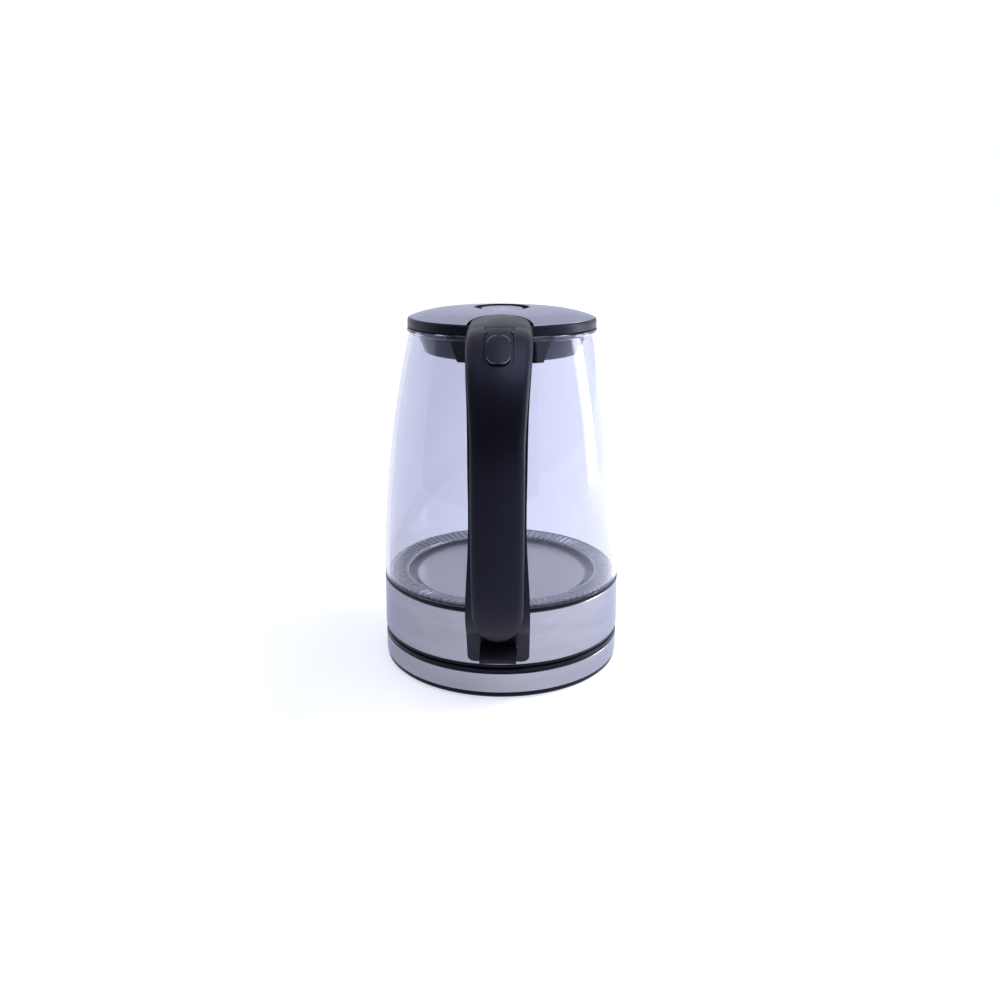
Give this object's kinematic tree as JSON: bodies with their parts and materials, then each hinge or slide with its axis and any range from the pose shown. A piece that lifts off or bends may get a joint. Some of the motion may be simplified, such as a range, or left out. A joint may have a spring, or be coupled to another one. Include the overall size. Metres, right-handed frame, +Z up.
{
  "type": "electric kettle",
  "caption": "Glass-walled cordless electric kettle with brushed steel band, black loop handle, hinged steel-topped lid and round power base.",
  "frame": {"origin": "on the kettle's vertical axis, in the plane that the power base's feet stand on", "axes": "+Z up along the kettle's axis, handle towards -Y, spout towards +Y, +X completes the right-handed frame"},
  "size_m": [0.154, 0.1976, 0.2277],
  "materials": {
    "black_plastic": "fine matt moulding",
    "gloss_black": "gloss moulding",
    "soft_touch": "satin soft-touch coating",
    "brushed_steel": "brushed around the axis",
    "plate_steel": "fine straight brushing",
    "zinc_steel": "zinc plated",
    "contact_metal": "bright contact metal",
    "cast_aluminium": "as cast",
    "black_rubber": "matt rubber",
    "silicone": "translucent silicone",
    "clear_plastic": "clear gloss moulding",
    "smoked_plastic": "smoked gloss moulding",
    "circuit_board": "coated board",
    "glass": "clear borosilicate glass"
  },
  "bodies": {
    "power_base": {"base_pan": "black_plastic", "base_steel_trim": "brushed_steel", "base_top_cover": "black_plastic", "base_connector": "black_plastic", "base_contacts": "contact_metal", "base_feet": "black_rubber", "base_screws": "zinc_steel", "cord_gland": "black_rubber"},
    "kettle": {"bottom_cover": "black_plastic", "kettle_screws": "zinc_steel", "steel_band": "brushed_steel", "body_chassis": "black_plastic", "gasket_ring": "black_rubber", "light_ring": "clear_plastic", "heating_plate": "plate_steel", "plate_seal": "black_rubber", "plate_clamp_ring": "cast_aluminium", "heat_spreader": "cast_aluminium", "heating_element": "cast_aluminium", "thermostat_control": "black_plastic", "kettle_connector": "black_plastic", "kettle_contacts": "contact_metal", "steam_switch": "black_plastic", "bimetal_disc": "contact_metal", "led_boards": "circuit_board", "leds": "clear_plastic", "glass_jug": "glass", "handle_grip": "soft_touch", "handle_shell": "black_plastic", "button_spring": "zinc_steel", "hinge_pin": "zinc_steel", "steam_tube": "silicone", "handle_screws": "zinc_steel", "neck_bracket": "black_plastic", "bracket_screws": "zinc_steel", "switch_pin": "zinc_steel"},
    "lid": {"lid_steel_cap": "brushed_steel", "lid_rim": "black_plastic", "lid_bezel": "gloss_black", "lid_insert": "brushed_steel", "lid_plug": "smoked_plastic", "lid_seal": "silicone", "lid_screws": "zinc_steel"},
    "release_button": {"lid_release_button": "soft_touch"},
    "latch": {"latch_slider": "black_plastic"},
    "switch_paddle": {"power_switch": "gloss_black"},
    "switch_link_bar": {"switch_link": "black_plastic"}
  },
  "joints": [
    {"name": "kettle_lift", "type": "slide", "parent": "power_base", "child": "kettle", "axis": [0, 0, 1], "range_m": [0, 0.05]},
    {"name": "lid_hinge", "type": "hinge", "parent": "kettle", "child": "lid", "pos_m": [0, -0.07, 0.219], "axis": [1, 0, 0], "range_deg": [0, 70]},
    {"name": "button_press", "type": "slide", "parent": "kettle", "child": "release_button", "axis": [0, 0.5873, -0.8094], "range_m": [0, 0.0025], "stiffness_N_per_m": 500, "springref_m": -0.001, "deforming": ["button_spring"]},
    {"name": "latch_slide", "type": "slide", "parent": "kettle", "child": "latch", "axis": [0, -1, 0], "range_m": [0, 0.002]},
    {"name": "switch_press", "type": "hinge", "parent": "kettle", "child": "switch_paddle", "pos_m": [0, -0.082, 0.0385], "axis": [1, 0, 0], "range_deg": [0, 12]},
    {"name": "link_lift", "type": "slide", "parent": "kettle", "child": "switch_link_bar", "axis": [0, 0, 1], "range_m": [0, 0.0018]}
  ],
  "couplings": [
    {"joint": "latch_slide", "follows": "button_press", "ratio": 0.8},
    {"joint": "link_lift", "follows": "switch_press", "m_per_rad": 0.0078}
  ]
}
